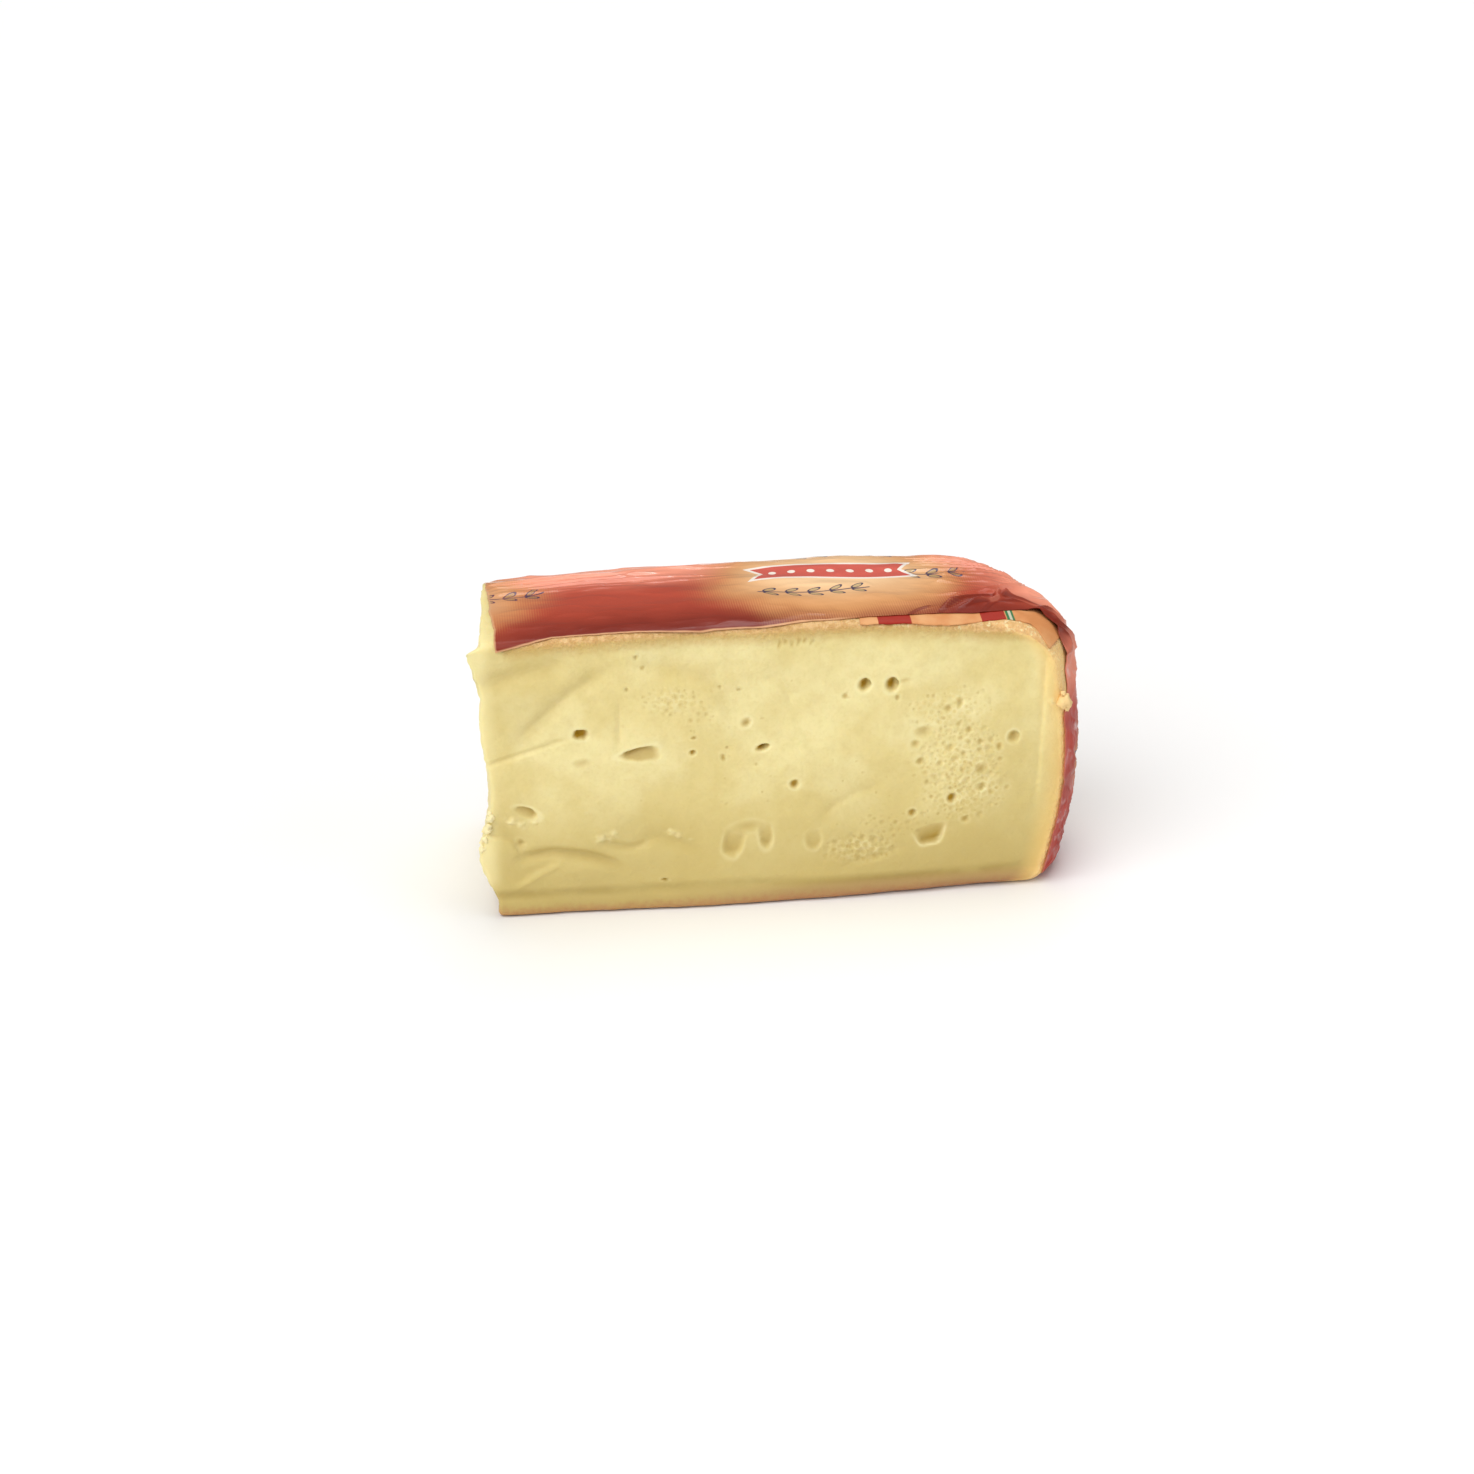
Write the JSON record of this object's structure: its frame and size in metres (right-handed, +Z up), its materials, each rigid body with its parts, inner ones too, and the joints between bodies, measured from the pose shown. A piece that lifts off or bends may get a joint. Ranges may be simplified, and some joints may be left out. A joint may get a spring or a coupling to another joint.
{
  "type": "wrapped piece of taleggio",
  "caption": "Slab of soft taleggio cut from the rounded end of a cheese, pale paste with small eyes, red printed film over the rind sides and an orange band under it.",
  "frame": {"origin": "middle of the base, halfway along the overall length and depth, on the surface it rests on", "axes": "+X along the length to the rounded rind end, +Y from the long cut face to the back, +Z up"},
  "size_m": [0.125, 0.0478, 0.0602],
  "materials": {
    "paste": "moist matte",
    "film": "soft gloss",
    "label": "satin"
  },
  "bodies": {
    "root": {"cheese": "paste", "film": "film", "label": "label"}
  },
  "joints": []
}
